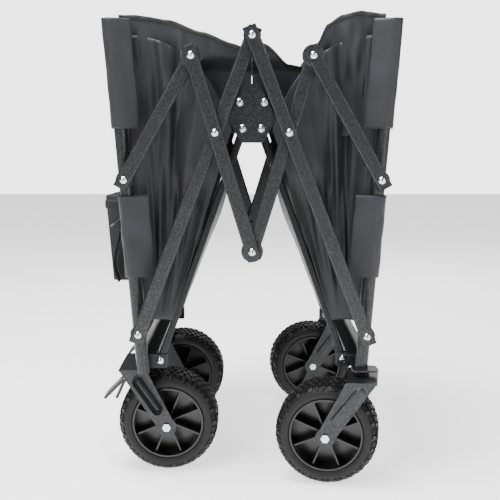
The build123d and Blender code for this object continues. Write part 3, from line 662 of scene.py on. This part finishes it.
def pressed_rib(start, end, width, lift, out):
    """A raised panel with round ends and sloping walls between two (x, z) points; out is -1 or 1 along Y."""
    length = hypot(end[0] - start[0], end[1] - start[1])
    tilt = atan2(end[1] - start[1], end[0] - start[0])
    bpy.ops.mesh.primitive_cube_add(size=1)
    rib = bpy.context.object
    rib.scale = (length + width, 2 * lift, width)
    bpy.ops.object.transform_apply(scale=True)
    bpy.ops.object.mode_set(mode="EDIT")
    bpy.ops.mesh.select_all(action="DESELECT")
    bpy.ops.object.mode_set(mode="OBJECT")
    for edge in rib.data.edges:
        a, b = (rib.data.vertices[i].co for i in edge.vertices)
        edge.select = abs(a.x - b.x) < 1e-6 and abs(a.z - b.z) < 1e-6
    bpy.ops.object.mode_set(mode="EDIT")
    bpy.ops.mesh.select_mode(type="EDGE")
    bpy.ops.mesh.bevel(offset=width * 0.49, segments=10, affect="EDGES")
    bpy.ops.object.mode_set(mode="OBJECT")
    for vertex in rib.data.vertices:
        if vertex.co.y * out > 0:
            vertex.co.x *= 1 - 4 * lift / (length + width)
            vertex.co.z *= 1 - 4 * lift / width
    bevel(rib, lift * 0.5, 3, 25)
    rib.rotation_euler = (0, -tilt, 0)
    rib.location = ((start[0] + end[0]) / 2, 0, (start[1] + end[1]) / 2)
    bpy.ops.object.transform_apply(location=True, rotation=True)
    return rib


rear_low, rear_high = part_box("rear_forks")
caster_reach = 0.0535
for side, sign in sides.items():
    wheel = Vector(joints[f"rear_wheel_spin_{side}"]["pos_m"])
    rib = pressed_rib((wheel.x - 0.050, 0.171), (wheel.x - 0.016, wheel.z + 0.032), 0.021, 0.0013, sign)
    rib.location.y = rear_low.y - 0.0012 if side == "near" else rear_high.y + 0.0012
    settle(rib, f"rear_fork_rib_{side}", post_coat)
    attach(rib, "rear_frame")
    pin = Vector(joints[f"caster_swivel_{side}"]["pos_m"])
    hub_axis = joints[f"caster_wheel_spin_{side}"]["axis"]
    turn = atan2(-hub_axis[0], hub_axis[1])
    for out in (-1, 1):
        rib = pressed_rib((-0.003, 0.168), (-0.040, 0.120), 0.022, 0.0013, out)
        reach = caster_reach + 0.0002
        rib.location = (pin.x - out * reach * sin(turn), pin.y + out * reach * cos(turn), 0)
        rib.rotation_euler = (0, 0, turn)
        settle(rib, f"caster_fork_rib_{side}_{'outer' if out * sign > 0 else 'inner'}", post_coat)
        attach(rib, f"caster_{side}")

# Pocket strap and buckle
# A black webbing strap holds the pocket's side to the rear wall; a moulded ladder buckle takes up its
# slack and catches the light.
for side, sign in sides.items():

    def strap(u, v):
        """v runs down the strap, which bows out over the pocket's corner."""
        z = 0.515 - 0.17 * v
        bow = 0.028 * smooth(v * 1.6) + 0.006 * sin(3 * pi * v)
        return post_at(z, -1) - 0.0035 - bow, sign * (0.189 + 0.024 * u), z

    obj = grid_sheet(f"pocket_strap_{side}", 6, 50, strap, webbing, 0.0018)
    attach(obj, "rear_frame")
    bpy.ops.mesh.primitive_torus_add(major_segments=4, minor_segments=12, major_radius=0.0165,
                                     minor_radius=0.0022, rotation=(pi / 4, 0, 0))
    buckle = bpy.context.object
    bpy.ops.object.transform_apply(rotation=True)
    for vertex in buckle.data.vertices:
        vertex.co = (vertex.co.z, vertex.co.x * 1.15, vertex.co.y)
    z = 0.452
    buckle.rotation_euler = (0, radians(12), 0)
    buckle.location = (strap(0.5, (0.515 - z) / 0.17)[0] - 0.003, sign * 0.201, z)
    select_only(buckle)
    bpy.ops.object.shade_smooth()
    settle(buckle, f"strap_buckle_{side}", black_plastic)
    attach(buckle, "rear_frame")

# Camera, floor and light
# A still-life set: pale floor, white surround and broad soft lights from above and in front.
world = bpy.data.worlds.new("studio")
bpy.context.scene.world = world
world.use_nodes = True
world.node_tree.nodes["Background"].inputs["Color"].default_value = linear("#ffffff")
direct = add_node(world, "ShaderNodeLightPath").outputs["Is Camera Ray"]
backdrop = add_node(world, "ShaderNodeMath", {0: direct, 1: 3.4, 2: 0.16}, operation="MULTIPLY_ADD")
world.node_tree.links.new(backdrop.outputs[0], world.node_tree.nodes["Background"].inputs["Strength"])
bpy.ops.mesh.primitive_plane_add(size=14, location=(0, 0, -0.0005))
floor = bpy.context.object
floor.name = "studio_floor"
floor_paint, floor_shader, floor_place = new_material("pale_floor", 0.9)
floor_noise = add_node(floor_paint, "ShaderNodeTexNoise", {"Vector": floor_place, "Scale": 3.0})
finish_material(floor_paint, floor_shader, ramp(floor_paint, floor_noise.outputs["Fac"],
                                                [(0.3, "#f6f6f6"), (0.7, "#fafafa")]))
floor_shader.inputs["Emission Color"].default_value = linear("#ffffff")
floor_shader.inputs["Emission Strength"].default_value = 1.4
floor.data.materials.append(floor_paint)


def area_light(name, where, target, size, power):
    """A soft square light aimed at a point."""
    bpy.ops.object.light_add(type="AREA", location=where)
    lamp = bpy.context.object
    lamp.name = name
    lamp.data.size = size
    lamp.data.energy = power
    lamp.rotation_euler = (Vector(target) - Vector(where)).to_track_quat("-Z", "Y").to_euler()


middle = (cad_low + cad_high) / 2
area_light("key", (-1.3, -2.2, 2.0), middle, 1.6, 60)
area_light("fill", (1.8, -1.8, 1.2), middle, 1.6, 36)
area_light("top", (-0.5, -0.3, 2.4), middle, 1.1, 120)
area_light("rim", (0.6, 2.2, 1.8), middle, 1.5, 30)
camera_data = bpy.data.cameras.new("camera")
camera = bpy.data.objects.new("camera", camera_data)
bpy.context.scene.collection.objects.link(camera)
camera_data.lens = 64.97
camera_data.sensor_width = 36
camera.location = (0.0069, -1.758, 0.6046)
camera.rotation_euler = (radians(90 - 7.5), 0, 0)
bpy.context.scene.camera = camera
